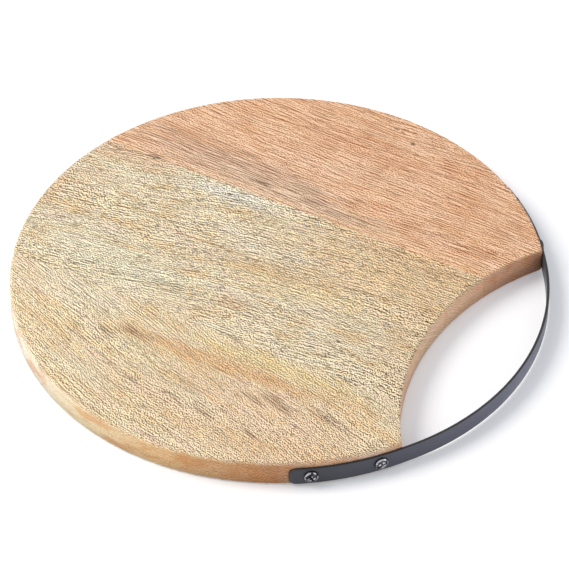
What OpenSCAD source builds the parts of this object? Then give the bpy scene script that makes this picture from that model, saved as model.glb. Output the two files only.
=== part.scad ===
// Round wooden cutting board with a hand gap cut into one side.
// Three planks are glued edge to edge, and a flat steel strap, held by two
// pan-head screws at each end, carries the rim's circle across the gap.
//
// Millimetres. The board lies on Z = 0 with the disc centred on the origin.
// The planks run along X, the hand gap is on the +X side, and +Y is the back.

/* [Board] */
// Diameter of the disc
board_d = 305; // [285:1:360]
// Thickness of the planks
board_t = 16; // [14:0.5:25]
// Radius of the eased edge round the top of the rim
top_edge_r = 2.5; // [0.5:0.1:4]
// Radius of the eased edge round the underside of the rim
bottom_edge_r = 2; // [0.5:0.1:4]

/* [Planks] */
// Distance from the disc's centre to the glue joint behind it
back_joint_y = 49; // [35:1:65]
// Width of the middle plank, between its two glue joints
middle_plank_w = 110; // [85:1:130]

/* [Hand gap] */
// Depth of the gap at its middle, from the disc's circle inwards
gap_depth = 54; // [42:1:66]
// Radius of the gap's curved wall
gap_r = 152.5; // [115:0.5:210]
// Radius of the eased edges along the top and underside of the gap's wall
gap_edge_r = 1.5; // [0.5:0.1:3]
// Radius of the upright corner where the gap's wall meets the rim
horn_r = 2; // [0.5:0.1:4]

/* [Strap handle] */
// Width of the strap, measured up the rim
strap_w = 11; // [8:0.5:12]
// Thickness of the strap
strap_t = 1.5; // [1:0.1:3]
// Height of the strap's centre line above the underside
strap_z = 7; // [6.5:0.1:9]
// Length of rim that the strap covers on each side of the gap
strap_lap = 63.5; // [56:0.5:75]
// How far the strap stands out past the rim's circle at the middle of the gap
strap_bow = 1.6; // [0.5:0.1:5]
// Radius of the strap's rounded end corners
strap_corner_r = 4; // [0.5:0.1:4.5]
// Radius that the strap's long edges are broken to
strap_edge_r = 0.3; // [0.1:0.05:0.45]

/* [Screws] */
// Distance along the rim from the strap's end to the outer screw
screw_inset = 12; // [7:0.5:14]
// Distance along the rim between the two screws of one end
screw_pitch = 38.5; // [26:0.5:40]
// Length of a screw under its head
screw_len = 16; // [12:0.5:22]
// Diameter of the screw's head
head_d = 8; // [6.5:0.1:9]
// Height of the screw's head
head_h = 2; // [1.6:0.1:3]
// Height of the straight wall at the edge of the head
head_wall = 0.5; // [0.2:0.05:0.8]
// Diameter of the plain neck that passes through the strap
neck_d = 4; // [3.5:0.1:4.6]
// Diameter of the threaded part at the root of its thread
core_d = 3; // [2.4:0.1:3.3]
// Length of the screw's pointed end
point_len = 4; // [2:0.5:6]

/* [Cross recess] */
// Width of the recess across two opposite wings, at the top of the head
recess_span = 4.4; // [3.2:0.1:5]
// Width of one wing
wing_w = 1; // [0.6:0.1:1.3]
// Depth of the recess below the crown of the head
recess_depth = 1.6; // [1:0.1:2.4]
// Share of the span that is left at the bottom of the recess
recess_taper = 0.45; // [0.3:0.05:0.8]

/* [Fits] */
// Gap all round between a screw's neck and its hole in the strap
neck_clearance = 0.25; // [0.1:0.05:0.5]
// Gap all round between a screw's core and its pilot hole
pilot_clearance = 0.05; // [0.02:0.01:0.2]
// Extra depth of a pilot hole past the point of its screw
pilot_spare = 1.5; // [0.5:0.5:3]

/* [Hidden] */

// Facets of the large and the small round forms on screen
$fn = 240;
small_fn = 48;
// Reach of a cutter past the faces that it cuts through
past = 1;

board_r = board_d / 2;
front_joint_y = back_joint_y - middle_plank_w;

// The gap's wall is a circle whose centre lies outside the disc
gap_x = board_r - gap_depth + gap_r;
// Where that circle crosses the rim, as a distance along X and as an angle
horn_x = (board_r * board_r - gap_r * gap_r + gap_x * gap_x) / (2 * gap_x);
horn_angle = acos(horn_x / board_r);

// Centre of the circle that rounds the upright corner off: it touches the rim
// from inside and the gap's wall from outside
horn_cx = (pow(board_r - horn_r, 2) - pow(gap_r + horn_r, 2) + gap_x * gap_x) / (2 * gap_x);
horn_cy = sqrt(pow(board_r - horn_r, 2) - horn_cx * horn_cx);

// The strap hugs the rim as far as the gap, runs straight for a short lead and
// then turns on a tighter arc, so that it stays smooth and bows out at the middle
strap_angle = horn_angle + along_rim(strap_lap);
lead_len = strap_bow / tan(horn_angle / 2);
span_r = board_r - lead_len / tan(horn_angle);
end_corner_r = min(strap_corner_r, strap_w / 2);

outer_screw_angle = strap_angle - along_rim(screw_inset);
inner_screw_angle = outer_screw_angle - along_rim(screw_pitch);
screw_angles = [outer_screw_angle, inner_screw_angle, -inner_screw_angle, -outer_screw_angle];
// The turn at which each screw came to rest, in the order of screw_angles
screw_turns = [10, 60, 20, 35];

// Radius of the ball that the crown of a screw's head is part of
crown_rise = head_h - head_wall;
crown_r = (head_d * head_d / 4 + crown_rise * crown_rise) / (2 * crown_rise);

back_wood = [0.85, 0.68, 0.52];
middle_wood = [0.84, 0.74, 0.56];
front_wood = [0.86, 0.72, 0.53];
coated_steel = [0.27, 0.28, 0.31];
blackened_steel = [0.16, 0.16, 0.17];

// The angle that a length measured along the rim turns through
function along_rim(length) = length / board_r * 180 / PI;

// Half section of the disc, with its eased edges as true arcs
module rim_section() {
  square([board_r - max(top_edge_r, bottom_edge_r), board_t]);
  translate([0, bottom_edge_r]) square([board_r, board_t - top_edge_r - bottom_edge_r]);
  translate([0, board_t / 2]) square([board_r - top_edge_r, board_t / 2]);
  square([board_r - bottom_edge_r, board_t / 2]);
  translate([board_r - top_edge_r, board_t - top_edge_r]) circle(top_edge_r, $fn = small_fn);
  translate([board_r - bottom_edge_r, bottom_edge_r]) circle(bottom_edge_r, $fn = small_fn);
}

// One flared mouth of the gap's cutter, which leaves an eased edge on the wood
module flared_mouth() {
  difference() {
    square([gap_r + gap_edge_r, gap_edge_r + past]);
    translate([gap_r + gap_edge_r, 0]) circle(gap_edge_r, $fn = small_fn);
  }
}

module gap_section() {
  translate([0, -past]) square([gap_r, board_t + 2 * past]);
  translate([0, board_t - gap_edge_r]) flared_mouth();
  translate([0, gap_edge_r]) mirror([0, 1]) flared_mouth();
}

// What is taken off one upright corner: the tip outside its rounding circle
module horn_tip() {
  centre = [horn_cx, horn_cy];
  on_rim = centre * board_r / norm(centre);
  from_gap = centre - [gap_x, 0];
  on_wall = [gap_x, 0] + from_gap * gap_r / norm(from_gap);
  beyond = centre + ([horn_x, sqrt(board_r * board_r - horn_x * horn_x)] - centre) * 3;
  translate([0, 0, -past]) linear_extrude(board_t + 2 * past) difference() {
    polygon([centre, on_rim, beyond, on_wall]);
    translate(centre) circle(horn_r, $fn = small_fn);
  }
}

// Puts a screw, or a hole for one, on the strap's outer face at an angle. Its own
// Z axis then points away from the board.
module on_strap(angle) {
  rotate([0, 0, angle])
    translate([board_r + strap_t, 0, strap_z])
      rotate([0, 90, 0])
        children();
}

module pilot_hole() {
  depth = screw_len + pilot_spare;
  translate([0, 0, -depth])
    cylinder(h = depth, d = core_d + 2 * pilot_clearance, $fn = small_fn);
}

// The whole board as it is shaped after gluing
module shaped_board() {
  difference() {
    rotate_extrude() rim_section();
    translate([gap_x, 0, 0]) rotate_extrude() gap_section();
    horn_tip();
    mirror([0, 1, 0]) horn_tip();
    for (angle = screw_angles) on_strap(angle) pilot_hole();
  }
}

// The part of the shaped board that lies between two joints
module plank(from_y, to_y) {
  intersection() {
    shaped_board();
    translate([-board_r - past, from_y, -past])
      cube([board_d + 2 * past, to_y - from_y, board_t + 2 * past]);
  }
}

module back_plank() {
  color(back_wood) plank(back_joint_y, board_r + past);
}

module middle_plank() {
  color(middle_wood) plank(front_joint_y, back_joint_y);
}

module front_plank() {
  color(front_wood) plank(-board_r - past, front_joint_y);
}

// Section of the strap, from its inner face outwards along X and up along Y
module strap_section() {
  broken = min(strap_edge_r, strap_t / 2 - 0.05);
  translate([broken, 0]) square([strap_t - 2 * broken, strap_w]);
  translate([0, broken]) square([strap_t, strap_w - 2 * broken]);
  for (x = [broken, strap_t - broken], y = [broken, strap_w - broken])
    translate([x, y]) circle(broken, $fn = small_fn);
}

// One half of the strap, from its end to the middle of the gap. It is drawn in a
// frame turned to the horn, where the rim's circle, the lead and the span meet.
module strap_half() {
  intersection() {
    rotate([0, 0, horn_angle]) {
      rotate_extrude(angle = strap_angle - horn_angle)
        translate([board_r, 0]) strap_section();
      translate([board_r, 0, 0])
        rotate([90, 0, 0])
          linear_extrude(lead_len) strap_section();
      translate([board_r, -lead_len, 0])
        translate([-span_r, 0, 0])
          mirror([0, 1, 0])
            rotate_extrude(angle = horn_angle + past)
              translate([span_r, 0]) strap_section();
    }
    translate([0, 0, -past]) cube([board_d, board_d, strap_w + 2 * past]);
  }
}

// What rounds the two corners of one end of the strap
module strap_end_cut() {
  rotate([0, 0, strap_angle])
    translate([board_r - past, 0, strap_w / 2])
      rotate([90, 0, 90])
        linear_extrude(strap_t + 2 * past) difference() {
          translate([-end_corner_r, -strap_w / 2 - past])
            square([end_corner_r + past, strap_w + 2 * past]);
          translate([-2 * end_corner_r, end_corner_r - strap_w / 2])
            square([2 * end_corner_r, strap_w - 2 * end_corner_r]);
          for (side = [-1, 1])
            translate([-end_corner_r, side * (strap_w / 2 - end_corner_r)])
              circle(end_corner_r, $fn = small_fn);
        }
}

module neck_hole() {
  translate([0, 0, -strap_t - past])
    cylinder(h = strap_t + 2 * past, d = neck_d + 2 * neck_clearance, $fn = small_fn);
}

module handle_strap() {
  color(coated_steel) difference() {
    translate([0, 0, strap_z - strap_w / 2]) difference() {
      for (side = [0, 1]) mirror([0, side, 0]) strap_half();
      for (side = [0, 1]) mirror([0, side, 0]) strap_end_cut();
    }
    for (angle = screw_angles) on_strap(angle) neck_hole();
  }
}

// Half section of the screw's head, with its crown as a true arc
module head_section() {
  intersection() {
    square([head_d / 2, head_h]);
    translate([0, head_h - crown_r]) circle(crown_r);
  }
}

// One pair of opposite wings of the cross recess, narrowing towards the bottom
module recess_wings() {
  top = recess_span / 2;
  bottom = top * recess_taper;
  rotate([90, 0, 0])
    translate([0, 0, -wing_w / 2])
      linear_extrude(wing_w)
        polygon([
          [-top, head_h + past], [-top, head_h], [-bottom, head_h - recess_depth],
          [bottom, head_h - recess_depth], [top, head_h], [top, head_h + past]
        ]);
}

// A screw with the underside of its head at Z = 0 and its point downwards
module pan_screw(turn) {
  difference() {
    rotate_extrude() head_section();
    for (quarter = [0, 90]) rotate([0, 0, turn + quarter]) recess_wings();
  }
  translate([0, 0, -strap_t]) cylinder(h = strap_t, d = neck_d, $fn = small_fn);
  translate([0, 0, point_len - screw_len])
    cylinder(h = screw_len - point_len - strap_t, d = core_d, $fn = small_fn);
  translate([0, 0, -screw_len]) cylinder(h = point_len, d1 = 0, d2 = core_d, $fn = small_fn);
}

module seated_screw(i) {
  color(blackened_steel) on_strap(screw_angles[i]) pan_screw(screw_turns[i]);
}

module back_outer_screw() { seated_screw(0); }
module back_inner_screw() { seated_screw(1); }
module front_inner_screw() { seated_screw(2); }
module front_outer_screw() { seated_screw(3); }

back_plank();
middle_plank();
front_plank();
handle_strap();
back_outer_screw();
back_inner_screw();
front_inner_screw();
front_outer_screw();
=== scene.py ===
import math

import bmesh
import bpy
from mathutils import Matrix, Vector


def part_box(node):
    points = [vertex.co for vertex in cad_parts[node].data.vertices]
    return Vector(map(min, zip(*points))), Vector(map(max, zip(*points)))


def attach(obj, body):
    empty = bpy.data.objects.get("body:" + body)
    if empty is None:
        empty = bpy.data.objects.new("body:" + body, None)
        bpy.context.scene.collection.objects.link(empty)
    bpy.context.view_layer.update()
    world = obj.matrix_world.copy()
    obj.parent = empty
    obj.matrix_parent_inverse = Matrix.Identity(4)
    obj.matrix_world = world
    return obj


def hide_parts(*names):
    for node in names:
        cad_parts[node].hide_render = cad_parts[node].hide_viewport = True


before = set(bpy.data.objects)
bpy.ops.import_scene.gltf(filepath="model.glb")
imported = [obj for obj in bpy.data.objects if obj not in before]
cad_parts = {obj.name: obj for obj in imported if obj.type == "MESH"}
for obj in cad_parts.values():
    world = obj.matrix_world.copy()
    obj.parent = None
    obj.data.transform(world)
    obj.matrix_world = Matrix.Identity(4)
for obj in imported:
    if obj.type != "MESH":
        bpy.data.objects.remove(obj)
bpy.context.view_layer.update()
scene = bpy.context.scene
scene.view_settings.view_transform = "Standard"
print("frame loaded:", len(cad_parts), "nodes")


# helpers for node trees

def feed(tree, socket, value):
    if isinstance(value, bpy.types.NodeSocket):
        tree.links.new(value, socket)
    else:
        socket.default_value = value


def feedAll(tree, node, values):
    for name, value in values.items():
        feed(tree, node.inputs[name], value)


def addNode(tree, kind, values=None, **settings):
    node = tree.nodes.new(kind)
    for name, setting in settings.items():
        setattr(node, name, setting)
    feedAll(tree, node, values or {})
    return node


def calc(tree, operation, a, b=0.0):
    return addNode(tree, "ShaderNodeMath", {0: a, 1: b}, operation=operation).outputs[0]


def times(tree, a, b):
    return calc(tree, "MULTIPLY", a, b)


def vectorCalc(tree, operation, a, b=(0, 0, 0)):
    node = addNode(tree, "ShaderNodeVectorMath", {0: a, 1: b}, operation=operation)
    return node.outputs["Value" if operation == "LENGTH" else "Vector"]


def scaled(tree, vector, amount):
    return addNode(tree, "ShaderNodeVectorMath", {0: vector, "Scale": amount}, operation="SCALE").outputs[0]


def split(tree, vector):
    return addNode(tree, "ShaderNodeSeparateXYZ", {0: vector}).outputs


def joined(tree, **axes):
    return addNode(tree, "ShaderNodeCombineXYZ", axes).outputs[0]


def geometry(tree, kind, values, **settings):  # the first output of a geometry node
    return addNode(tree, "GeometryNode" + kind, values, **settings).outputs[0]


def fade(tree, value, start, end, first=0.0, last=1.0):  # smooth step between start and end
    values = {"Value": value, "From Min": start, "From Max": end, "To Min": first, "To Max": last}
    return addNode(tree, "ShaderNodeMapRange", values, interpolation_type="SMOOTHSTEP").outputs[0]


def noise(tree, vector, cells, detail=2.0, roughness=0.5, size="3D"):  # cells: per unit on x, y and z
    stretched = vectorCalc(tree, "MULTIPLY", vector, cells)
    values = {"Vector": stretched, "Scale": 1.0, "Detail": detail, "Roughness": roughness}
    return addNode(tree, "ShaderNodeTexNoise", values, noise_dimensions=size).outputs


def mixColour(tree, factor, a, b, blend="MIX"):
    node = addNode(tree, "ShaderNodeMix", data_type="RGBA", blend_type=blend)
    for index, value in ((0, factor), (6, a), (7, b)):  # factor and the two colours
        feed(tree, node.inputs[index], value)
    return node.outputs[2]


def seen(red, green, blue):  # a colour as it looks on screen, 0 to 255
    def linear(level):
        level /= 255
        return level / 12.92 if level <= 0.04045 else ((level + 0.055) / 1.055) ** 2.4
    return (linear(red), linear(green), linear(blue), 1.0)


def startGroup(kind, name, inputs, outputs):
    tree = bpy.data.node_groups.new(name, kind)
    for label, socketKind in inputs:
        tree.interface.new_socket(label, in_out="INPUT", socket_type="NodeSocket" + socketKind)
    for label, socketKind in outputs:
        tree.interface.new_socket(label, in_out="OUTPUT", socket_type="NodeSocket" + socketKind)
    return tree, tree.nodes.new("NodeGroupInput").outputs, tree.nodes.new("NodeGroupOutput").inputs


def startMaterial(name):
    material = bpy.data.materials.new(name)
    material.use_nodes = True
    tree = material.node_tree
    return material, tree, tree.nodes["Principled BSDF"]


def addBump(tree, surface, height, finish):
    bump = addNode(tree, "ShaderNodeBump", {
        "Height": height, "Strength": finish["bumpStrength"], "Distance": finish["bumpDepth"]})
    feed(tree, surface.inputs["Normal"], bump.outputs[0])


# helpers for meshes

def meshObject(name, bm):
    mesh = bpy.data.meshes.new(name)
    bm.to_mesh(mesh)
    bm.free()
    piece = bpy.data.objects.new(name, mesh)
    scene.collection.objects.link(piece)
    return piece


def skinColumns(bm, columns):  # walls between columns of vertices round an outline, and a cap at each end
    for here, there in zip(columns, columns[1:] + columns[:1]):
        for k in range(len(here) - 1):
            bm.faces.new((here[k], here[k + 1], there[k + 1], there[k]))
    bm.faces.new([column[0] for column in columns])
    bm.faces.new([column[-1] for column in reversed(columns)])


def settle(piece):  # the modifiers' result becomes the plain mesh
    graph = bpy.context.evaluated_depsgraph_get()
    mesh = bpy.data.meshes.new_from_object(piece.evaluated_get(graph))
    piece.modifiers.clear()
    piece.data = mesh
    for index in reversed(range(len(mesh.materials))):
        if mesh.materials[index] is None:  # a Boolean can leave an empty slot
            mesh.materials.pop(index=index)


def drill(piece, axes, radius, sides=32):  # axes: start and end point of each hole
    bm = bmesh.new()
    for start, end in axes:
        run = end - start
        place = Matrix.Translation((start + end) / 2) @ run.to_track_quat("Z", "Y").to_matrix().to_4x4()
        bmesh.ops.create_cone(bm, cap_ends=True, segments=sides, radius1=radius, radius2=radius,
                              depth=run.length, matrix=place)
    bit = meshObject("drillBit", bm)
    cut = piece.modifiers.new("holes", "BOOLEAN")
    cut.object = bit
    cut.solver = "EXACT"
    settle(piece)
    bpy.data.objects.remove(bit)


def smoothByAngle(piece, limit):  # smooth faces, with sharp edges where they turn by more than limit
    bm = bmesh.new()
    bm.from_mesh(piece.data)
    for face in bm.faces:
        face.smooth = True
    for edge in bm.edges:
        edge.smooth = edge.calc_face_angle(0.0) < limit
    bm.to_mesh(piece.data)
    bm.free()


def addModifierTree(piece, tree, values):
    modifier = piece.modifiers.new(tree.name, "NODES")
    modifier.node_group = tree
    for label, value in values.items():
        modifier[tree.interface.items_tree[label].identifier] = value


def handOver(piece, slot, *nodes):
    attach(piece, "root")
    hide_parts(*nodes)
    print(piece.name, "made:", len(piece.data.polygons), "faces")


# camera, at the photo's angle

camera = {
    "azimuth": math.radians(29.48),
    "elevation": math.radians(43.43),
    "roll": math.radians(-0.37),
    "frameSize": 569,          # pixels, square
    "focalLength": 3000,       # pixels
    "centreAt": (277.6, 288.6),  # pixel of the underside's centre, from the top left
    "distance": 1.7176,
    "sensorWidth": 36.0,
}


def makeCamera():
    azimuth, elevation, roll = camera["azimuth"], camera["elevation"], camera["roll"]
    level = math.cos(elevation)
    back = Vector((math.sin(azimuth) * level, -math.cos(azimuth) * level, math.sin(elevation)))
    right = Vector((math.cos(azimuth), math.sin(azimuth), 0))
    up = back.cross(right)
    cosRoll, sinRoll = math.cos(roll), math.sin(roll)
    right, up = right * cosRoll + up * sinRoll, up * cosRoll - right * sinRoll
    half = camera["frameSize"] / 2
    perPixel = camera["distance"] / camera["focalLength"]
    across = (camera["centreAt"][0] - half) * perPixel
    down = (camera["centreAt"][1] - half) * perPixel
    place = back * camera["distance"] - right * across + up * down
    lens = bpy.data.cameras.new("photoCamera")
    lens.sensor_width = camera["sensorWidth"]
    lens.lens = camera["sensorWidth"] * camera["focalLength"] / camera["frameSize"]
    holder = bpy.data.objects.new("photoCamera", lens)
    holder.matrix_world = Matrix.Translation(place) @ Matrix((right, up, back)).transposed().to_4x4()
    scene.collection.objects.link(holder)
    scene.camera = holder
    print("camera placed")


# floor, world and lamps

studio = {
    "floorSize": 30.0,
    "floorShade": (0.855, 0.858, 0.87, 1),
    "floorRoughness": 0.9,
    "floorGlow": 0.19,      # what lifts the lit floor to white for the camera
    "sky": (0.52, 0.54, 0.585, 1),
    "keyAt": (-1.74, -0.6, 1.9),
    "keySize": 1.7,
    "keyPower": 58.0,
    "keyTint": (1.0, 0.95, 0.88),
    "fillAt": (2.2, 0.9, 0.8),
    "fillSize": 1.6,
    "fillPower": 9.0,
    "fillTint": (1.0, 1.0, 1.0),
}


def seenRay(tree):  # 1 on camera, glossy and transmission rays
    path = tree.nodes.new("ShaderNodeLightPath").outputs
    glossy = calc(tree, "MAXIMUM", path["Is Camera Ray"], path["Is Glossy Ray"])
    return calc(tree, "MAXIMUM", glossy, path["Is Transmission Ray"])


def makeStudio():
    half = studio["floorSize"] / 2
    bm = bmesh.new()
    bmesh.ops.create_grid(bm, x_segments=1, y_segments=1, size=half)
    floor = meshObject("floor", bm)
    material, tree, surface = startMaterial("paleFloor")
    feedAll(tree, surface, {
        "Base Color": studio["floorShade"], "Roughness": studio["floorRoughness"],
        "Specular IOR Level": 0.0, "Emission Color": (1, 1, 1, 1),
        "Emission Strength": times(tree, seenRay(tree), studio["floorGlow"]),
    })
    floor.data.materials.append(material)

    world = bpy.data.worlds.new("studioWorld")
    scene.world = world
    world.use_nodes = True
    tree = world.node_tree
    shown = mixColour(tree, seenRay(tree), studio["sky"], (1, 1, 1, 1))
    feed(tree, tree.nodes["Background"].inputs["Color"], shown)

    for name in ("key", "fill"):
        lamp = bpy.data.lights.new(name + "Lamp", "AREA")
        lamp.shape = "DISK"
        lamp.size = studio[name + "Size"]
        lamp.energy = studio[name + "Power"]
        lamp.color = studio[name + "Tint"]
        holder = bpy.data.objects.new(name + "Lamp", lamp)
        at = Vector(studio[name + "At"])
        holder.matrix_world = Matrix.Translation(at) @ at.to_track_quat("Z", "Y").to_matrix().to_4x4()
        scene.collection.objects.link(holder)
    print("floor and light set")


# wood: shared groups, in millimetres; cells are counts a millimetre along, across and through the grain

grainFigure = {
    "slowSway": (0.011, 0.022, 0.022),
    "quickSway": (0.06, 0.1, 0.1),
    "toneCells": (0.004, 0.035, 0.035),
    "warmthCells": (0.04, 0.14, 0.14),
    "streakCells": (0.009, 0.3, 0.3),
    "veinCells": (0.022, 0.5, 0.5),
    "veinWidth": 0.03,
    "slant": 1.3,                  # how far the hatching leans with depth, so that it runs down the sides
    "sideStep": 0.85,              # to the neighbours that even the hatching out
    "sideShare": 0.35,
    "strandCells": 1.08,           # across the grain; the strands' length is set for each plank
    "fibreCells": (1.2, 1.12, 0),
    "lineRange": (-0.052, -0.076),  # dark broken lines in the hatching
    "shadeRange": (0.02, -0.06),   # warmer wood beside them
    "gleamRange": (0.03, 0.14),    # paler wood between them
    "shortCells": (1.7, 1.15, 1.15),   # the second set of pores against the first
    "shortShift": (7.3, 4.1, 2.7),
    "shortDepth": 0.75,
    "poreSizes": (0.55, 1.2),      # smallest and largest share of the set size
    "poreEdge": 0.55,
    "lineDepth": 0.3,              # against the pores' depth
}


def makeGrainGroup():
    marks = ("Tone", "Warmth", "Streak", "Lines", "Shade", "Gleam", "Veins", "Strands", "Fibre", "Pores",
             "Height")
    tree, given, result = startGroup("ShaderNodeTree", "mangoGrain", [
        ("Vector", "Vector"), ("Wave", "Float"), ("Curl", "Float"),
        ("Fineness", "Float"), ("Line Length", "Float"), ("Stipple", "Float"),
        ("Pore Length", "Float"), ("Pore Width", "Float"), ("Pore Share", "Float"),
    ], [(label, "Float") for label in marks])

    def swayed(vector, cells, amount):  # pushes the grain sideways by up to half the amount
        push = vectorCalc(tree, "SUBTRACT", noise(tree, vector, cells, 1.0)["Color"], (0.5, 0.5, 0.5))
        sideways = vectorCalc(tree, "MULTIPLY", push, joined(tree, Y=amount, Z=amount))
        return vectorCalc(tree, "ADD", vector, sideways)

    along = swayed(given["Vector"], grainFigure["slowSway"], given["Wave"])
    along = swayed(along, grainFigure["quickSway"], given["Curl"])
    tone = noise(tree, along, grainFigure["toneCells"])["Fac"]
    warmth = noise(tree, along, grainFigure["warmthCells"])["Fac"]
    streak = noise(tree, along, grainFigure["streakCells"], 4.0, 0.6)["Fac"]

    # hatching on a flat sheet that follows the grain
    spot = split(tree, along)
    across = calc(tree, "ADD", spot["Y"], times(tree, spot["Z"], grainFigure["slant"]))
    sheet = scaled(tree, joined(tree, X=spot["X"], Y=across), given["Fineness"])

    def hatch(cells):  # noise about zero, less a share of what lies to either side of the grain
        rows = []
        for step in (0.0, grainFigure["sideStep"], -grainFigure["sideStep"]):
            moved = vectorCalc(tree, "ADD", sheet, (0, step, 0))
            rows.append(noise(tree, moved, cells, 0.0, 0.5, "2D")["Fac"])
        here, above, below = rows
        share = grainFigure["sideShare"]
        sides = times(tree, calc(tree, "ADD", above, below), share)
        middle = 0.5 - share  # what is left of the noise's own middle, 0.5
        return calc(tree, "SUBTRACT", calc(tree, "SUBTRACT", here, sides), middle)

    perBreak = calc(tree, "DIVIDE", 1.0, given["Line Length"])
    strands = hatch(joined(tree, X=perBreak, Y=grainFigure["strandCells"]))
    fibre = hatch(grainFigure["fibreCells"])
    rest = calc(tree, "SUBTRACT", 1.0, given["Stipple"])
    ground = calc(tree, "ADD", times(tree, strands, rest), times(tree, fibre, given["Stipple"]))
    lines = fade(tree, ground, *grainFigure["lineRange"])
    shade = fade(tree, ground, *grainFigure["shadeRange"])
    gleam = fade(tree, ground, *grainFigure["gleamRange"])
    strandMask = fade(tree, strands, *grainFigure["shadeRange"])

    # thin veins where the noise crosses its middle
    crossing = calc(tree, "SUBTRACT", noise(tree, along, grainFigure["veinCells"], 1.0)["Fac"], 0.5)
    veins = fade(tree, calc(tree, "ABSOLUTE", crossing), grainFigure["veinWidth"], 0.0)

    def dashes(cells, shift):  # one drawn-out spot in each cell, of uneven size
        spread = vectorCalc(tree, "ADD", vectorCalc(tree, "MULTIPLY", along, cells), shift)
        seed = addNode(tree, "ShaderNodeTexVoronoi", {"Vector": spread, "Scale": 1.0}).outputs
        size = fade(tree, split(tree, seed["Color"])["X"], 0.0, 1.0, *grainFigure["poreSizes"])
        reach = times(tree, given["Pore Share"], size)
        return fade(tree, calc(tree, "DIVIDE", seed["Distance"], reach), 1.0, grainFigure["poreEdge"])

    perLength = calc(tree, "DIVIDE", 1.0, given["Pore Length"])
    perWidth = calc(tree, "DIVIDE", 1.0, given["Pore Width"])
    cells = joined(tree, X=perLength, Y=perWidth, Z=perWidth)
    longOnes = dashes(cells, (0, 0, 0))
    shortCells = vectorCalc(tree, "MULTIPLY", cells, grainFigure["shortCells"])
    shortOnes = dashes(shortCells, grainFigure["shortShift"])
    pores = calc(tree, "MAXIMUM", longOnes, times(tree, shortOnes, grainFigure["shortDepth"]))
    depth = calc(tree, "ADD", times(tree, lines, grainFigure["lineDepth"]), pores)
    height = times(tree, depth, -1.0)
    figure = (tone, warmth, streak, lines, shade, gleam, veins, strandMask, fibre, pores, height)
    for label, value in zip(marks, figure):
        feed(tree, result[label], value)
    return tree


def makePatchGroup():
    tree, given, result = startGroup("ShaderNodeTree", "grainPatch", [
        ("Plan", "Vector"), ("Streak", "Float"), ("Strands", "Float"), ("Centre", "Vector"),
        ("Half Size", "Vector"), ("Turn", "Float"), ("Ragged", "Float"), ("Lined", "Float"),
    ], [("Mask", "Float")])
    turned = addNode(tree, "ShaderNodeVectorRotate", {
        "Vector": given["Plan"], "Center": given["Centre"], "Angle": given["Turn"],
    }, rotation_type="Z_AXIS").outputs[0]
    fromCentre = vectorCalc(tree, "SUBTRACT", turned, given["Centre"])
    local = vectorCalc(tree, "DIVIDE", fromCentre, given["Half Size"])
    reach = vectorCalc(tree, "LENGTH", vectorCalc(tree, "MULTIPLY", local, (1, 1, 0)))
    torn = times(tree, calc(tree, "SUBTRACT", given["Streak"], 0.5), given["Ragged"])
    mask = fade(tree, calc(tree, "ADD", reach, torn), 1.0, 0.25)  # full inside a quarter of the half size
    gaps = times(tree, calc(tree, "SUBTRACT", 1.0, given["Strands"]), given["Lined"])
    feed(tree, result["Mask"], times(tree, mask, calc(tree, "SUBTRACT", 1.0, gaps)))
    return tree


grainGroup = makeGrainGroup()
patchGroup = makePatchGroup()

# kinds of patch: how torn its outline is, and how far the strands break it up

brownLine = {"ragged": 2.5, "lined": 0.85}  # drawn out along the grain
warmLine = {"ragged": 0.8, "lined": 0.2}    # one thin line of colour
softStain = {"ragged": 1.5, "lined": 0.25}  # a cloud of colour
darkMark = {"ragged": 1.8, "lined": 0.66}   # a cluster of dark dashes
fleck = {"ragged": 0.5, "lined": 0.0}       # one small dark spot

# one dictionary of settings for each plank, in millimetres and degrees; strengths and shares are 0 to 1
# sweep: from and to on x, and how far the grain drifts across meanwhile; wave and curl: slow and quick sway
# stipple: share of short fibres in the hatching, at each end of stippleOver
# flankStops: colours of the sides at places along x, partly their own and partly painted light and shade
# a patch: kind, centre and half size in plan, turn, colour as seen, strength

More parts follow.
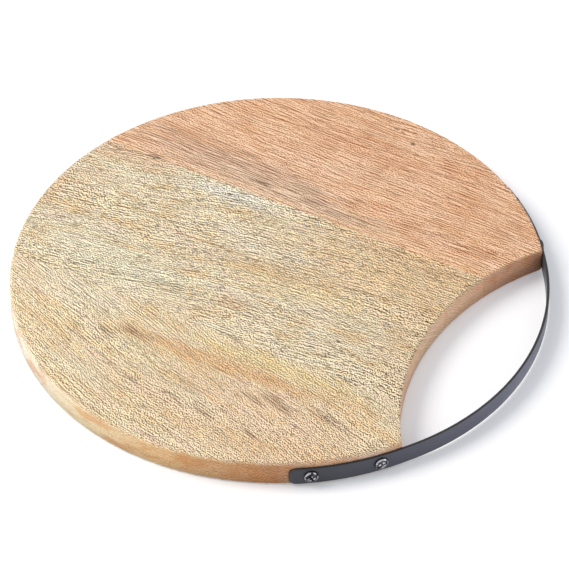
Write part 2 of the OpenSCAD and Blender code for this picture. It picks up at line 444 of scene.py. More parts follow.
backWood = {
    "grainTurn": -1.0, "grainShift": (310, 20, 60), "wave": 7.0, "curl": 0.3, "sweep": (-150, 0, 4),
    "pale": seen(247, 210, 176), "deep": seen(243, 202, 165), "warm": seen(230, 175, 128), "warmth": 0.6,
    "blush": seen(248, 208, 178), "blushStrength": 0.4,
    "streak": seen(212, 158, 112), "streakStrength": 0.3, "stipple": (0.55, 0.55),
    "gleam": seen(255, 230, 202), "gleamStrength": 0.2, "fineness": 1.1,
    "shade": seen(255, 248, 238), "shadeStrength": 0.3,
    "line": seen(160, 122, 84), "lineStrength": 1.0, "lineLength": 20.0,
    "vein": seen(160, 128, 96), "veinStrength": 0.5,
    "pore": seen(140, 112, 88), "poreStrength": 0.55, "poreShare": 0.24,
    "poreLength": 9.0, "poreWidth": 0.9,
    "flankMarks": 0.3, "flankWarm": seen(214, 150, 104), "flankBlotch": 0.5,
    # partly painted shade: the sides darken to the back horn's tip, by the strap
    "flankStops": [(-90, seen(238, 184, 140)), (104, seen(232, 178, 143)), (119, seen(206, 150, 116)),
                   (125, seen(140, 96, 70))],
    "patches": [
        (softStain, (-62, 63), (92, 19), -4, (238, 208, 182), 0.75),
        (softStain, (-14, 57), (112, 11), -2, (242, 220, 192), 0.75),
        (softStain, (-98, 76), (36, 12), -3, (212, 172, 138), 0.55),
        (softStain, (4, 96), (84, 16), 0, (246, 214, 184), 0.5),
        (brownLine, (-60, 62), (100, 20), -4, (118, 84, 62), 0.5),
        (softStain, (-66, 50), (62, 6), 0, (246, 220, 192), 0.6),
        (brownLine, (12, 58), (50, 7), -5, (118, 82, 58), 0.5),
        (softStain, (-17, 67), (15, 5), -3, (170, 158, 140), 0.45),
        (softStain, (-5, 117), (62, 15), -3, (220, 156, 112), 0.4),
        (softStain, (-72, 108), (42, 14), 0, (248, 214, 180), 0.25),
        (brownLine, (70, 69), (40, 6), -3, (150, 100, 66), 0.25),
        (softStain, (84, 80), (32, 13), 0, (232, 182, 134), 0.5),
        (softStain, (56, 123), (34, 14), 0, (226, 164, 118), 0.45),
        (softStain, (64, 53), (70, 6), 0, (246, 206, 162), 0.55),
        (softStain, (-60, 51), (100, 6), 0, (246, 218, 188), 0.75),
        (softStain, (-102, 58), (32, 12), 0, (230, 200, 172), 0.6),
        (fleck, (17.6, 133.3), (2.6, 1.7), -20, (92, 56, 38), 0.9),
        (fleck, (2.9, 140.8), (3, 1.0), -15, (120, 74, 50), 0.8),
        (fleck, (7.8, 139.3), (3, 1.0), -15, (120, 74, 50), 0.7),
        (fleck, (-45.1, 116.4), (3, 1.0), -8, (136, 88, 60), 0.7),
        (fleck, (-71.3, 126.4), (3, 1.0), -8, (136, 88, 60), 0.7),
        (darkMark, (-111, 49.4), (6, 2.4), 0, (72, 44, 28), 0.95),
    ],
}
middleWood = {
    "grainTurn": 0.0, "grainShift": (0, 130, 20), "wave": 10.0, "curl": 0.25, "sweep": (-230, 60, -40),
    "pale": seen(255, 244, 211), "deep": seen(254, 237, 201), "warm": seen(248, 214, 164), "warmth": 0.8,
    "blush": seen(255, 230, 208), "blushStrength": 0.6,
    "streak": seen(214, 184, 132), "streakStrength": 0.35, "stipple": (0.68, 0.68),
    "gleam": seen(255, 252, 234), "gleamStrength": 0.2, "fineness": 1.12,
    "shade": seen(252, 238, 208), "shadeStrength": 0.25,
    "line": seen(60, 38, 0), "lineStrength": 0.95, "lineLength": 14.0,
    "vein": seen(120, 100, 64), "veinStrength": 0.5,
    "pore": seen(84, 58, 28), "poreStrength": 0.78, "poreShare": 0.3,
    "poreLength": 6.0, "poreWidth": 1.1,
    "flankMarks": 0.3, "flankWarm": seen(240, 186, 140), "flankBlotch": 0.3,
    # partly painted light: paler at 98, lighting the wall in the hand gap
    "flankStops": [(-150, seen(252, 230, 192)), (98, seen(255, 214, 178)), (106, seen(248, 190, 152))],
    "patches": [
        (softStain, (70, 28), (112, 38), 4, (252, 216, 166), 0.85),
        (softStain, (84, 38), (28, 16), 0, (244, 204, 150), 0.5),
        (softStain, (14, -11), (64, 12), 4, (253, 228, 172), 0.6),
        (softStain, (-12, 12), (44, 10), 0, (255, 250, 228), 0.55),
        (softStain, (-134, 16), (16, 24), 0, (255, 228, 194), 0.5),
        (softStain, (-84, -42), (62, 24), 0, (255, 253, 224), 0.7),
        (brownLine, (62, 41), (70, 8), -2, (140, 94, 54), 0.25),
        (softStain, (66, 45), (76, 8), 0, (248, 208, 160), 0.6),
        (softStain, (-126, 46), (50, 14), 0, (250, 206, 166), 0.8),
        (softStain, (-54, 42), (36, 8), 0, (255, 252, 240), 0.8),
        (darkMark, (-111, 48.6), (6, 2.4), 0, (72, 44, 28), 0.95),
        (warmLine, (-42, -0.5), (46, 1.3), 1, (224, 170, 120), 0.6),
        (warmLine, (52, 6), (50, 1.2), 7, (226, 172, 118), 0.5),
        (softStain, (5, -3), (60, 6), 7, (230, 184, 124), 0.5),
        (softStain, (-9, -37), (14, 7), 4, (226, 170, 112), 0.5),
        (brownLine, (-60, -46), (92, 5), 5, (140, 104, 60), 0.2),
        (softStain, (-149, -4), (9, 28), 0, (224, 166, 106), 0.4),
        (softStain, (92, -14), (26, 54), 0, (240, 200, 150), 0.45),
    ],
}
frontWood = {
    "grainTurn": -15.0, "grainShift": (90, 260, 110), "wave": 10.0, "curl": 0.25, "sweep": (-170, 0, 4),
    "pale": seen(255, 240, 202), "deep": seen(255, 234, 193), "warm": seen(253, 218, 166), "warmth": 0.8,
    "blush": seen(255, 226, 202), "blushStrength": 0.6,
    "streak": seen(236, 194, 138), "streakStrength": 0.3, "stipple": (0.58, 0.74),
    "gleam": seen(255, 250, 224), "gleamStrength": 0.2, "fineness": 1.2,
    "shade": seen(254, 238, 206), "shadeStrength": 0.25,
    "line": seen(70, 42, 0), "lineStrength": 0.9, "lineLength": 14.0,
    "vein": seen(124, 98, 64), "veinStrength": 0.5,
    "pore": seen(90, 66, 38), "poreStrength": 0.6, "poreShare": 0.3,
    "poreLength": 3.6, "poreWidth": 1.1,
    "flankMarks": 0.45, "flankWarm": seen(226, 150, 84), "flankBlotch": 0.5,
    # partly painted light and shade: paler on the left, where the light falls, darker near the strap
    "flankStops": [(-90, seen(255, 250, 236)), (-40, seen(255, 234, 192)), (11, seen(255, 206, 142)),
                   (73, seen(200, 124, 64)), (104, seen(255, 212, 184))],
    "patches": [
        (softStain, (50, -108), (100, 44), 8, (255, 218, 182), 0.6),
        (softStain, (40, -70), (68, 9), 0, (252, 226, 160), 0.7),
        (softStain, (10, -82), (88, 8), 2, (240, 188, 130), 0.8),
        (softStain, (-112, -76), (46, 20), -10, (255, 240, 214), 0.4),
        (softStain, (-86, -70), (48, 16), -8, (255, 250, 226), 0.6),
        (softStain, (-60, -124), (36, 12), -12, (255, 247, 218), 0.6),
        (softStain, (12, -116), (26, 10), -12, (255, 246, 216), 0.5),
        (softStain, (84, -76), (26, 9), -4, (250, 212, 158), 0.6),
        (softStain, (70, -126), (48, 14), 10, (244, 194, 142), 0.4),
        (darkMark, (-42, -84), (15, 4), -8, (122, 72, 46), 0.72),
        (darkMark, (-58, -91), (9, 3.6), -28, (124, 77, 54), 0.68),
        (darkMark, (84, -92), (22, 5), -10, (116, 77, 54), 0.5),
        (darkMark, (53, -93), (17, 5), -15, (116, 77, 54), 0.68),
        (darkMark, (40, -97), (12, 3), -15, (124, 81, 52), 0.6),
        (darkMark, (-4, -103), (17, 3.6), -12, (191, 140, 65), 0.68),
        (darkMark, (-25, -116), (11, 3), -20, (116, 72, 46), 0.72),
        (darkMark, (2, -117), (12, 1.8), -18, (124, 77, 47), 0.6),
        (darkMark, (21, -119), (14, 3), -18, (112, 69, 46), 0.72),
        (darkMark, (51, -121), (8, 2.6), -36, (112, 69, 47), 0.68),
    ],
}

woodFinish = {
    "stippleOver": (-130.0, 0.0),  # stretch of x over which the stipple's share changes
    "toneRange": (0.3, 0.7),
    "warmRange": (0.48, 0.7),      # of the warmth or streak noise
    "blushRange": (0.5, 0.3),
    "flankShare": 0.8,             # how far the sides take their own colours
    "blotchRange": (0.45, 0.65),
    # painted shade: the sides are darkened from this height down towards the floor
    "paintedShadeTop": 11.0,              # millimetres up the sides
    "paintedShadeLevel": 0.76,
    "specular": 0.15,
    "fibreRange": (-0.3, 0.3),
    "roughness": (0.5, 0.64),
    "bumpStrength": 0.3,
    "bumpDepth": 0.0001,
}


def makeWood(name, wood):
    material, tree, surface = startMaterial(name)
    place = tree.nodes.new("ShaderNodeTexCoord").outputs["Object"]
    plan = scaled(tree, place, 1000)  # millimetres
    spot = split(tree, plan)
    start, end, drop = wood["sweep"]
    fall = fade(tree, spot["X"], start, end, 0.0, drop)
    level = vectorCalc(tree, "ADD", plan, joined(tree, Y=fall))
    grainTurn = (0, 0, math.radians(-wood["grainTurn"]))
    board = addNode(tree, "ShaderNodeMapping", {
        "Vector": level, "Location": wood["grainShift"], "Rotation": grainTurn}).outputs[0]
    figure = addNode(tree, "ShaderNodeGroup", {
        "Vector": board, "Wave": wood["wave"], "Curl": wood["curl"],
        "Fineness": wood["fineness"], "Line Length": wood["lineLength"],
        "Stipple": fade(tree, spot["X"], *woodFinish["stippleOver"], *wood["stipple"]),
        "Pore Length": wood["poreLength"], "Pore Width": wood["poreWidth"], "Pore Share": wood["poreShare"],
    }, node_tree=grainGroup).outputs

    # ground colour of the plank, then its patches
    tone = fade(tree, figure["Tone"], *woodFinish["toneRange"])
    colour = mixColour(tree, tone, wood["pale"], wood["deep"])
    for label, span, strength, tint in (("Warmth", "warmRange", "warmth", "warm"),
                                        ("Warmth", "blushRange", "blushStrength", "blush"),
                                        ("Streak", "warmRange", "streakStrength", "streak")):
        amount = fade(tree, figure[label], *woodFinish[span], 0.0, wood[strength])
        colour = mixColour(tree, amount, colour, wood[tint])
    for kind, centre, halfSize, turn, tint, strength in wood["patches"]:
        mask = addNode(tree, "ShaderNodeGroup", {
            "Plan": plan, "Streak": figure["Streak"], "Strands": figure["Strands"],
            "Centre": (*centre, 0), "Half Size": (*halfSize, 1), "Turn": math.radians(-turn),
            "Ragged": kind["ragged"], "Lined": kind["lined"],
        }, node_tree=patchGroup).outputs["Mask"]
        colour = mixColour(tree, times(tree, mask, strength), colour, seen(*tint))

    # the sides take colours along x, partly their own and partly painted light and shade, with warm
    # blotches
    flank = addNode(tree, "ShaderNodeAttribute", attribute_name="flank").outputs["Fac"]
    stops = wood["flankStops"]
    first, last = stops[0][0], stops[-1][0]
    spread = addNode(tree, "ShaderNodeMapRange", {"Value": spot["X"], "From Min": first, "From Max": last})
    ramp = addNode(tree, "ShaderNodeValToRGB", {0: spread.outputs[0]})
    for number, (x, tint) in enumerate(stops):
        if 0 < number < len(stops) - 1:
            ramp.color_ramp.elements.new((x - first) / (last - first))
        ramp.color_ramp.elements[number].color = tint
    onSides = times(tree, flank, woodFinish["flankShare"])
    colour = mixColour(tree, onSides, colour, ramp.outputs[0])
    warmSpots = fade(tree, figure["Warmth"], *woodFinish["blotchRange"], 0.0, wood["flankBlotch"])
    colour = mixColour(tree, times(tree, warmSpots, flank), colour, wood["flankWarm"])

    # fine marks, fainter on the sides
    shown = fade(tree, flank, 0.0, 1.0, 1.0, wood["flankMarks"])
    for label, mark, blend in (("Gleam", "gleam", "MIX"), ("Shade", "shade", "MULTIPLY"),
                               ("Lines", "line", "MULTIPLY"), ("Veins", "vein", "MULTIPLY"),
                               ("Pores", "pore", "MULTIPLY")):
        amount = times(tree, figure[label], wood[mark + "Strength"])
        colour = mixColour(tree, times(tree, amount, shown), colour, wood[mark], blend)

    # painted shade: the sides darker towards the bottom, where less light reaches them
    paintedShadeFactor = fade(tree, spot["Z"], 0.0, woodFinish["paintedShadeTop"], woodFinish["paintedShadeLevel"], 1.0)
    grey = joined(tree, X=paintedShadeFactor, Y=paintedShadeFactor, Z=paintedShadeFactor)
    colour = mixColour(tree, flank, colour, mixColour(tree, 1.0, colour, grey, "MULTIPLY"))
    feedAll(tree, surface, {
        "Base Color": colour, "Specular IOR Level": woodFinish["specular"],
        "Roughness": fade(tree, figure["Fibre"], *woodFinish["fibreRange"], *woodFinish["roughness"]),
    })
    addBump(tree, surface, figure["Height"], woodFinish)
    return material


# the three planks, cut from one shaped disc

discSizes = {
    "topEdge": 0.0025,       # roundover along the rim
    "bottomEdge": 0.002,
    "gapEdge": 0.0015,       # lighter roundover in the hand gap
    "edgeFade": 0.02,        # stretch of rim that eases from one to the other
    "gapDepth": 0.054,
    "gapRadius": 0.1525,
    "hornRadius": 0.002,
    "step": 0.0016,          # along the outline
    "leastSteps": 6,         # in one arc of the outline
    "edgeSteps": 7,
    "holdingLoop": 0.0004,   # keeps the flat faces' shading flat up to the roundover
    "smoothAngle": math.radians(40),
}
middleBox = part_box("middle_plank")
boardRadius = -middleBox[0].x
boardThickness = middleBox[1].z
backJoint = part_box("back_plank")[0].y
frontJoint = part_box("front_plank")[1].y
gapCentre = boardRadius - discSizes["gapDepth"] + discSizes["gapRadius"]
hornAngle = math.acos((boardRadius**2 + gapCentre**2 - discSizes["gapRadius"]**2)
                      / (2 * boardRadius * gapCentre))


def arc(centre, radius, start, end, step, side=1):
    count = max(discSizes["leastSteps"], math.ceil(abs(end - start) * radius / step))
    stops = [start + (end - start) * i / count for i in range(count)]
    ways = [Vector((math.cos(stop), math.sin(stop))) for stop in stops]
    return [(Vector(centre) + way * radius, way * side) for way in ways]


def boardOutline():  # points, outward directions and how much of the rim's roundover each has
    gapRadius, tip, step = discSizes["gapRadius"], discSizes["hornRadius"], discSizes["step"]
    tipX = ((boardRadius - tip)**2 - (gapRadius + tip)**2 + gapCentre**2) / (2 * gapCentre)
    tipY = math.sqrt((boardRadius - tip)**2 - tipX**2)
    rimAngle = math.atan2(tipY, tipX)
    gapAngle = math.atan2(tipY, gapCentre - tipX)
    rim = arc((0, 0), boardRadius, rimAngle, 2 * math.pi - rimAngle, step)
    frontTip = arc((tipX, -tipY), tip, -rimAngle, gapAngle, step)
    gap = arc((gapCentre, 0), gapRadius, math.pi + gapAngle, math.pi - gapAngle, step, -1)
    backTip = arc((tipX, tipY), tip, -gapAngle, rimAngle, step)
    outline = []
    for i, (point, outward) in enumerate(rim):
        share = min(1.0, min(i, len(rim) - i) * step / discSizes["edgeFade"])
        outline.append((point, outward, share * share * (3 - 2 * share)))
    outline += [(point, outward, 0.0) for point, outward in frontTip + gap + backTip]
    return outline


def edgeProfile(top, bottom):  # inset, height and how far round to the flank, from top to underside
    steps = discSizes["edgeSteps"]
    turns = [math.pi / 2 * i / steps for i in range(steps + 1)]
    over, under = [], []
    for turn in turns:
        out, drop, turned = 1 - math.sin(turn), 1 - math.cos(turn), math.sin(turn)**3
        over.append((top * out, boardThickness - top * drop, turned))
        under.insert(0, (bottom * out, bottom * drop, turned))
    hold = discSizes["holdingLoop"]
    return [(top + hold, boardThickness, 0.0)] + over + under + [(bottom + hold, 0.0, 0.0)]


def makeDisc():
    bm = bmesh.new()
    flank = bm.verts.layers.float.new("flank")
    columns = []
    for point, outward, share in boardOutline():
        top = discSizes["gapEdge"] + (discSizes["topEdge"] - discSizes["gapEdge"]) * share
        bottom = discSizes["gapEdge"] + (discSizes["bottomEdge"] - discSizes["gapEdge"]) * share
        column = []
        for inset, height, turned in edgeProfile(top, bottom):
            vert = bm.verts.new((*(point - outward * inset), height))
            vert[flank] = turned
            column.append(vert)
        columns.append(column)
    skinColumns(bm, columns)
    return meshObject("disc", bm)


def sawPlank(disc, name, lowJoint, highJoint):
    bm = bmesh.new()
    bm.from_mesh(disc.data)
    for joint, side in ((lowJoint, -1), (highJoint, 1)):
        if joint is None:
            continue
        everything = bm.verts[:] + bm.edges[:] + bm.faces[:]
        cut = bmesh.ops.bisect_plane(bm, geom=everything, plane_co=(0, joint, 0), plane_no=(0, side, 0),
                                     clear_outer=True)
        rimEdges = [item for item in cut["geom_cut"] if isinstance(item, bmesh.types.BMEdge)]
        bmesh.ops.holes_fill(bm, edges=rimEdges, sides=0)
    return meshObject(name, bm)


def makePlanks():
    disc = makeDisc()
    makes = (
        ("backPlank", backJoint, None, "back_wood", "back_plank", backWood),
        ("middlePlank", frontJoint, backJoint, "middle_wood", "middle_plank", middleWood),
        ("frontPlank", None, frontJoint, "front_wood", "front_plank", frontWood),
    )
    for name, low, high, slot, node, wood in makes:
        plank = sawPlank(disc, name, low, high)
        plank.data.materials.append(makeWood(name + "Wood", wood))
        smoothByAngle(plank, discSizes["smoothAngle"])
        handOver(plank, slot, node)
    bpy.data.objects.remove(disc)


# the handle strap: a flat blank, bent round the rim and across the hand gap

strapSizes = {
    "thickness": 0.0015,
    "lap": 0.0635,            # along the rim from each horn
    "cornerRadius": 0.004,
    "edgeBreak": 0.0003,
    "edgeSteps": 3,
    "cornerSteps": 10,
    "bendStep": 0.0016,       # length of one facet of the bend
    "pathStep": 0.0004,
    "smoothAngle": math.radians(50),
}
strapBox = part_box("handle_strap")
strapWidth = strapBox[1].z - strapBox[0].z
strapHeight = (strapBox[1].z + strapBox[0].z) / 2
strapBow = strapBox[1].x - strapSizes["thickness"] - boardRadius  # how far the span stands off the circle
leadLength = strapBow / math.tan(hornAngle / 2)                   # straight stretch past each horn
spanRadius = boardRadius - leadLength / math.tan(hornAngle)
halfSpan = spanRadius * hornAngle
halfStrap = halfSpan + leadLength + strapSizes["lap"]


def strapPlace(distance):  # plan point of the inner face, measured from the middle of the span
    along = abs(distance)
    spanCentre = boardRadius + strapBow - spanRadius
    if along <= halfSpan:
        angle = along / spanRadius
        x, y = spanCentre + spanRadius * math.cos(angle), spanRadius * math.sin(angle)
    elif along <= halfSpan + leadLength:
        past = halfSpan + leadLength - along
        x = boardRadius * math.cos(hornAngle) + past * math.sin(hornAngle)
        y = boardRadius * math.sin(hornAngle) - past * math.cos(hornAngle)
    else:
        angle = hornAngle + (along - halfSpan - leadLength) / boardRadius
        x, y = boardRadius * math.cos(angle), boardRadius * math.sin(angle)
    return Vector((x, math.copysign(y, distance), 0))


def makeStrapPath():
    count = math.ceil(2 * halfStrap / strapSizes["pathStep"])
    curve = bpy.data.curves.new("strapPath", "CURVE")
    curve.dimensions = "3D"
    line = curve.splines.new("POLY")
    line.points.add(count)
    for i in range(count + 1):
        line.points[i].co = (*strapPlace(halfStrap - 2 * halfStrap * i / count), 1)
    path = bpy.data.objects.new("strapPath", curve)
    scene.collection.objects.link(path)
    return path


def makeBlank():  # x along the strap from its back end, y through its thickness, z up
    corner, thick, edge = strapSizes["cornerRadius"], strapSizes["thickness"], strapSizes["edgeBreak"]
    low, high = strapHeight - strapWidth / 2 + corner, strapHeight + strapWidth / 2 - corner
    outline = []
    quarter = math.pi / 2
    for number, centre in enumerate(((2 * halfStrap - corner, low), (2 * halfStrap - corner, high),
                                     (corner, high), (corner, low))):
        start = -quarter + number * quarter
        for i in range(strapSizes["cornerSteps"] + 1):
            angle = start + quarter * i / strapSizes["cornerSteps"]
            way = Vector((math.cos(angle), math.sin(angle)))
            outline.append((Vector(centre) + way * corner, way))
    turns = [quarter * i / strapSizes["edgeSteps"] for i in range(strapSizes["edgeSteps"] + 1)]
    rings = [(edge * (1 - math.sin(t)), edge * (1 - math.cos(t))) for t in turns]
    rings += [(inset, thick - depth) for inset, depth in reversed(rings)]
    bm = bmesh.new()
    onEdge = bm.verts.layers.float.new("edge")
    columns = []
    for point, way in outline:
        column = []
        for number, (inset, depth) in enumerate(rings):
            spot = point - way * inset
            vert = bm.verts.new((spot.x, depth, spot.y))
            vert[onEdge] = 0.0 if number in (0, len(rings) - 1) else 1.0
            column.append(vert)
        columns.append(column)
    skinColumns(bm, columns)
    bmesh.ops.recalc_face_normals(bm, faces=bm.faces)
    return meshObject("handleStrap", bm)


def sliceBlank(blank):  # crosswise cuts where the strip bends
    bm = bmesh.new()
    bm.from_mesh(blank.data)
    count = math.ceil(2 * halfStrap / strapSizes["bendStep"])
    for i in range(1, count):
        everything = bm.verts[:] + bm.edges[:] + bm.faces[:]
        bmesh.ops.bisect_plane(bm, geom=everything, plane_co=(2 * halfStrap * i / count, 0, 0),
                               plane_no=(1, 0, 0))
    bm.to_mesh(blank.data)
    bm.free()


def makeBendTree():
    tree, given, result = startGroup("GeometryNodeTree", "bendAlongPath", [
        ("Geometry", "Geometry"), ("Path", "Object"), ("Finish", "Material"),
    ], [("Geometry", "Geometry")])
    path = addNode(tree, "GeometryNodeObjectInfo", {"Object": given["Path"]})
    spot = tree.nodes.new("GeometryNodeInputPosition").outputs[0]
    flat = split(tree, spot)
    at = addNode(tree, "GeometryNodeSampleCurve", {
        "Curves": path.outputs["Geometry"], "Length": flat["X"],
    }, mode="LENGTH", use_all_curves=True).outputs
    outward = vectorCalc(tree, "NORMALIZE", vectorCalc(tree, "CROSS_PRODUCT", (0, 0, 1), at["Tangent"]))
    pushed = scaled(tree, outward, flat["Y"])
    lifted = joined(tree, Z=flat["Z"])
    place = vectorCalc(tree, "ADD", at["Position"], vectorCalc(tree, "ADD", pushed, lifted))
    bent = geometry(tree, "SetPosition", {"Geometry": given["Geometry"], "Position": place})
    whole = geometry(tree, "RealizeInstances", {"Geometry": bent})
    finished = geometry(tree, "SetMaterial", {"Geometry": whole, "Material": given["Finish"]})
    feed(tree, result["Geometry"], finished)
    return tree


strapCoat = {
    "dark": seen(48, 49, 56),
    "light": seen(56, 57, 64),
    "paintedSheen": seen(106, 107, 124),  # painted sheen: lighter across the middle of the span
    "paintedSheenFrom": 0.13,             # from the middle of the gap, along y
    # painted shade: the edges near black, for the dark reflection and shade along them
    "edge": seen(20, 20, 23),
    "cloudCells": 60,                # per metre
    "cloudRange": (0.3, 0.7),        # of the noise, from dark to light
    "peelCells": 2400,
    "satinRange": (0.2, 0.8),        # of the noise, from smooth to rough
    "roughness": (0.45, 0.55),
    "polish": 0.15,                  # taken off the roughness where the painted sheen lies
    "bumpStrength": 0.15,
    "bumpDepth": 0.0001,
}


def makeStrapCoat():
    material, tree, surface = startMaterial("charcoalCoat")
    place = tree.nodes.new("ShaderNodeTexCoord").outputs["Object"]
    peel = noise(tree, place, (strapCoat["peelCells"],) * 3)["Fac"]
    cloud = noise(tree, place, (strapCoat["cloudCells"],) * 3, 3.0)["Fac"]
    clouded = fade(tree, cloud, *strapCoat["cloudRange"])
    colour = mixColour(tree, clouded, strapCoat["dark"], strapCoat["light"])
    # painted sheen: the coat is lighter towards the middle of the span, along y
    fromMiddle = calc(tree, "ABSOLUTE", split(tree, place)["Y"])
    paintedSheen = addNode(tree, "ShaderNodeMapRange", {
        "Value": fromMiddle, "From Min": strapCoat["paintedSheenFrom"], "From Max": 0.0}).outputs[0]
    colour = mixColour(tree, paintedSheen, colour, strapCoat["paintedSheen"])
    # painted shade: the edges take the near-black colour
    edge = addNode(tree, "ShaderNodeAttribute", attribute_name="edge").outputs["Fac"]
    colour = mixColour(tree, edge, colour, strapCoat["edge"])
    satin = fade(tree, cloud, *strapCoat["satinRange"], *strapCoat["roughness"])
    polish = times(tree, paintedSheen, strapCoat["polish"])
    feedAll(tree, surface, {"Base Color": colour, "Roughness": calc(tree, "SUBTRACT", satin, polish)})
    addBump(tree, surface, peel, strapCoat)
    return material


def makeStrap():
    blank = makeBlank()
    seats = [halfStrap - strapAlong(angle) for angle in screwAngles()]
    thick = strapSizes["thickness"]
    drill(blank, [(Vector((x, -thick, strapHeight)), Vector((x, 2 * thick, strapHeight))) for x in seats],
          screwSizes["neckRadius"] + screwSizes["neckClearance"])
    sliceBlank(blank)
    path = makeStrapPath()
    addModifierTree(blank, makeBendTree(), {"Path": path, "Finish": makeStrapCoat()})
    settle(blank)
    bpy.data.objects.remove(path)
    smoothByAngle(blank, strapSizes["smoothAngle"])
    handOver(blank, "coated_steel", "handle_strap")


# four pan-head screws through the strap

screwSizes = {
    "sides": 40,
    "headRadius": 0.004,
    "headHeight": 0.002,
    "headWall": 0.0005,
    "headLip": 0.0001,        # broken corner under the head
    "weldDistance": 1e-6,
    "domeSteps": 12,
    "domeFlat": 0.75,         # below 1, the dome is flatter than an ellipse
    "neckRadius": 0.002,
    "neckClearance": 0.00025,
    "coreRadius": 0.0015,
    "length": 0.016,
    "pointLength": 0.004,
    "threadPitch": 0.0016,
    "threadDepth": 0.0005,
    "recessSpan": 0.0044,
    "recessWing": 0.001,
    "recessDepth": 0.0016,
    "recessTaper": 0.45,
    "recessLift": 0.00005,    # the wings start just above the dome
    "inset": 0.012,           # from the strap's end
    "pitch": 0.0385,
    "turns": (10, 60, 20, 35),  # degrees of each cross, from the back end to the front
    "threadSides": 24,        # facets a turn
    "threadRunOut": 0.12,     # share of the thread's length at each end
    "shoulderWearAndGlint": (0.72, 0.82, 0.92, 0.98),  # shares of the head's radius where wear and painted highlight start and end
    "lipWearAndGlint": (0.5, 0.62),
    "lipHeight": (0.7, 0.95),  # shares of the head's height
    "smoothAngle": math.radians(35),
}


def screwAngles():  # round the rim, from the back end to the front
    end = hornAngle + strapSizes["lap"] / boardRadius
    outer = end - screwSizes["inset"] / boardRadius
    inner = outer - screwSizes["pitch"] / boardRadius
    return (outer, inner, -inner, -outer)


def strapAlong(angle):  # distance along the strap from the middle of its span
    past = halfSpan + leadLength + (abs(angle) - hornAngle) * boardRadius
    return math.copysign(past, angle)


def makeScrewProfile():  # half section as an edge chain: x is the radius, y runs down into the wood
    head, wall, high = screwSizes["headRadius"], screwSizes["headWall"], screwSizes["headHeight"]
    core, neck, lip = screwSizes["coreRadius"], screwSizes["neckRadius"], screwSizes["headLip"]
    seat, length = strapSizes["thickness"], screwSizes["length"]
    chain = []
    for i in range(screwSizes["domeSteps"] + 1):
        angle = math.pi / 2 * (1 - i / screwSizes["domeSteps"])
        radius = head * math.cos(angle) ** screwSizes["domeFlat"]
        chain.append((radius, -wall - (high - wall) * math.sin(angle)))
    chain[0] = (0, -high)
    chain += [(head, -lip), (head - lip, 0), (neck, 0), (neck, seat), (core, seat + neck - core)]
    chain += [(core, length - screwSizes["pointLength"]), (0, length)]
    bm = bmesh.new()
    verts = [bm.verts.new((x, y, 0)) for x, y in chain]
    for a, b in zip(verts, verts[1:]):
        bm.edges.new((a, b))
    return meshObject("screwProfile", bm)


def makeSeats():  # one point for each screw, on the strap's outer face
    bm = bmesh.new()
    aim = bm.verts.layers.float_vector.new("aim")
    turn = bm.verts.layers.float.new("turn")
    outerFace = boardRadius + strapSizes["thickness"]
    for angle, degrees in zip(screwAngles(), screwSizes["turns"]):
        way = Vector((math.cos(angle), math.sin(angle), 0))
        vert = bm.verts.new(way * outerFace + Vector((0, 0, strapHeight)))
        vert[aim] = (0, math.pi / 2, angle)
        vert[turn] = math.radians(degrees)
    return meshObject("strapScrews", bm)


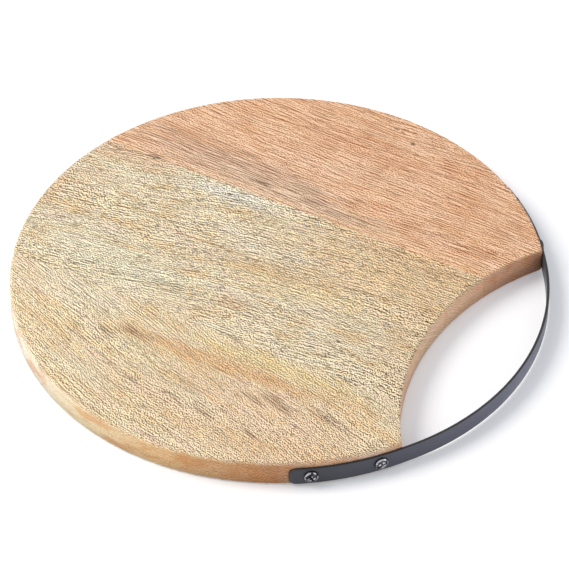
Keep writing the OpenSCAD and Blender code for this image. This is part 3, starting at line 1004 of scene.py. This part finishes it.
def makeScrewTree():
    tree, given, result = startGroup("GeometryNodeTree", "panScrews", [
        ("Geometry", "Geometry"), ("Profile", "Object"), ("Sides", "Int"),
        ("Head Radius", "Float"), ("Core Radius", "Float"),
        ("Thread Depth", "Float"), ("Thread Turns", "Float"),
        ("Thread Length", "Float"), ("Thread End", "Float"),
        ("Recess Span", "Float"), ("Recess Wing", "Float"), ("Recess Depth", "Float"),
        ("Recess Taper", "Float"), ("Recess Top", "Float"), ("Finish", "Material"),
    ], [("Geometry", "Geometry")])

    # body: the half section swept round a circle
    section = addNode(tree, "GeometryNodeObjectInfo", {"Object": given["Profile"]}).outputs["Geometry"]
    chain = geometry(tree, "MeshToCurve", {"Mesh": section})
    fromRing = joined(tree, X=times(tree, given["Core Radius"], -1.0))
    chain = geometry(tree, "Transform", {"Geometry": chain, "Translation": fromRing})
    ring = geometry(tree, "CurvePrimitiveCircle", {
        "Resolution": given["Sides"], "Radius": given["Core Radius"]}, mode="RADIUS")
    swept = geometry(tree, "CurveToMesh", {"Curve": ring, "Profile Curve": chain})
    body = geometry(tree, "MergeByDistance", {"Geometry": swept, "Distance": screwSizes["weldDistance"]})

    # cross recess: two tapered wings taken out of the head
    opening = times(tree, given["Recess Span"], math.sqrt(0.5))  # to the corners of a square
    wing = geometry(tree, "MeshCone", {
        "Vertices": 4, "Radius Top": opening, "Depth": given["Recess Depth"],
        "Radius Bottom": times(tree, opening, given["Recess Taper"])})
    recessFloor = joined(tree, Z=calc(tree, "SUBTRACT", given["Recess Top"], given["Recess Depth"]))
    wing = geometry(tree, "Transform", {
        "Geometry": wing, "Rotation": (0, 0, math.pi / 4), "Translation": recessFloor})
    slim = calc(tree, "DIVIDE", given["Recess Wing"], given["Recess Span"])
    wing = geometry(tree, "Transform", {"Geometry": wing, "Scale": joined(tree, X=1.0, Y=slim, Z=1.0)})
    crossed = geometry(tree, "Transform", {"Geometry": wing, "Rotation": (0, 0, math.pi / 2)})
    cut = addNode(tree, "GeometryNodeMeshBoolean", {"Mesh 1": body}, operation="DIFFERENCE", solver="EXACT")
    feed(tree, cut.inputs["Mesh 2"], wing)
    feed(tree, cut.inputs["Mesh 2"], crossed)

    # bright bare steel round the shoulder of the head and along the lips of the recess, partly wear and
    # partly painted highlight
    spot = tree.nodes.new("GeometryNodeInputPosition").outputs[0]
    high = split(tree, spot)["Z"]
    reach = vectorCalc(tree, "LENGTH", vectorCalc(tree, "MULTIPLY", spot, (1, 1, 0)))
    reach = calc(tree, "DIVIDE", reach, given["Head Radius"])
    inner, innerFull, outerFull, outer = screwSizes["shoulderWearAndGlint"]
    shoulder = times(tree, fade(tree, reach, inner, innerFull), fade(tree, reach, outer, outerFull))
    nearTop = fade(tree, calc(tree, "DIVIDE", high, given["Recess Top"]), *screwSizes["lipHeight"])
    lip = times(tree, nearTop, fade(tree, reach, *reversed(screwSizes["lipWearAndGlint"])))
    onHead = calc(tree, "GREATER_THAN", high, 0.0)
    rubbedAndGlint = times(tree, calc(tree, "MAXIMUM", shoulder, lip), onHead)
    head = geometry(tree, "StoreNamedAttribute", {
        "Geometry": cut.outputs["Mesh"], "Name": "worn", "Value": rubbedAndGlint,
    }, data_type="FLOAT", domain="POINT")

    # thread: a three-sided ridge along a spiral, which runs out at both ends
    spiral = geometry(tree, "CurveSpiral", {
        "Resolution": screwSizes["threadSides"], "Rotations": given["Thread Turns"],
        "Start Radius": given["Core Radius"], "End Radius": given["Core Radius"],
        "Height": given["Thread Length"]})
    spiral = geometry(tree, "SetCurveNormal", {"Curve": spiral}, mode="Z_UP")
    ridge = geometry(tree, "CurvePrimitiveCircle", {
        "Resolution": 3, "Radius": given["Thread Depth"]}, mode="RADIUS")
    share = tree.nodes.new("GeometryNodeSplineParameter").outputs["Factor"]
    tail = screwSizes["threadRunOut"]
    runOut = times(tree, fade(tree, share, 0.0, tail), fade(tree, share, 1.0, 1.0 - tail))
    thread = geometry(tree, "CurveToMesh", {
        "Curve": spiral, "Profile Curve": ridge, "Scale": runOut, "Fill Caps": True})
    thread = geometry(tree, "Transform", {
        "Geometry": thread, "Translation": joined(tree, Z=given["Thread End"])})
    screw = tree.nodes.new("GeometryNodeJoinGeometry")
    feed(tree, screw.inputs[0], head)
    feed(tree, screw.inputs[0], thread)

    # one at each seat, facing out and turned in its hole
    aim = geometry(tree, "InputNamedAttribute", {"Name": "aim"}, data_type="FLOAT_VECTOR")
    turn = geometry(tree, "InputNamedAttribute", {"Name": "turn"}, data_type="FLOAT")
    facing = addNode(tree, "FunctionNodeEulerToRotation", {0: aim}).outputs[0]
    spun = addNode(tree, "FunctionNodeAxisAngleToRotation", {"Axis": (0, 0, 1), "Angle": turn}).outputs[0]
    facing = addNode(tree, "FunctionNodeRotateRotation", {
        "Rotation": facing, "Rotate By": spun}, rotation_space="LOCAL").outputs[0]
    placed = geometry(tree, "InstanceOnPoints", {
        "Points": given["Geometry"], "Instance": screw.outputs[0], "Rotation": facing})
    whole = geometry(tree, "RealizeInstances", {"Geometry": placed})
    finished = geometry(tree, "SetMaterial", {"Geometry": whole, "Material": given["Finish"]})
    feed(tree, result["Geometry"], finished)
    return tree


blackSteel = {
    "dark": seen(40, 40, 42),
    "light": seen(58, 58, 60),
    # partly wear, partly painted highlight: bright steel where the heads catch the light
    "worn": seen(190, 190, 196),
    "cloudCells": 900,        # per metre
    "cloudRange": (0.3, 0.7),
    "satinRange": (0.2, 0.8),
    "wearGlintCells": 420,
    "wearGlintRange": (0.42, 0.56),
    "roughness": (0.15, 0.28),
    "bumpStrength": 0.1,
    "bumpDepth": 0.0001,
}


def makeBlackSteel():
    material, tree, surface = startMaterial("blackSteel")
    place = tree.nodes.new("ShaderNodeTexCoord").outputs["Object"]
    cloud = noise(tree, place, (blackSteel["cloudCells"],) * 3, 3.0)["Fac"]
    clouded = fade(tree, cloud, *blackSteel["cloudRange"])
    colour = mixColour(tree, clouded, blackSteel["dark"], blackSteel["light"])
    worn = addNode(tree, "ShaderNodeAttribute", attribute_name="worn").outputs["Fac"]
    # the bright steel broken into arcs, as painted highlights
    patchy = noise(tree, place, (blackSteel["wearGlintCells"],) * 3)["Fac"]
    bareAndGlint = times(tree, worn, fade(tree, patchy, *blackSteel["wearGlintRange"]))
    feedAll(tree, surface, {
        "Base Color": mixColour(tree, bareAndGlint, colour, blackSteel["worn"]), "Metallic": 1.0,
        "Roughness": fade(tree, cloud, *blackSteel["satinRange"], *blackSteel["roughness"]),
    })
    addBump(tree, surface, cloud, blackSteel)
    return material


def makeScrews():
    profile = makeScrewProfile()
    screws = makeSeats()
    threadStart = strapSizes["thickness"] + screwSizes["neckRadius"]
    threadLength = screwSizes["length"] - screwSizes["pointLength"] - threadStart
    addModifierTree(screws, makeScrewTree(), {
        "Profile": profile,
        "Sides": screwSizes["sides"],
        "Head Radius": screwSizes["headRadius"],
        "Core Radius": screwSizes["coreRadius"],
        "Thread Depth": screwSizes["threadDepth"],
        "Thread Turns": threadLength / screwSizes["threadPitch"],
        "Thread Length": threadLength,
        "Thread End": screwSizes["pointLength"] - screwSizes["length"],
        "Recess Span": screwSizes["recessSpan"],
        "Recess Wing": screwSizes["recessWing"],
        "Recess Depth": screwSizes["recessDepth"],
        "Recess Taper": screwSizes["recessTaper"],
        "Recess Top": screwSizes["headHeight"] + screwSizes["recessLift"],
        "Finish": makeBlackSteel(),
    })
    settle(screws)
    bpy.data.objects.remove(profile)
    smoothByAngle(screws, screwSizes["smoothAngle"])
    handOver(screws, "blackened_steel",
             "back_outer_screw", "back_inner_screw", "front_inner_screw", "front_outer_screw")


makeCamera()
makeStudio()
makePlanks()
makeStrap()
makeScrews()
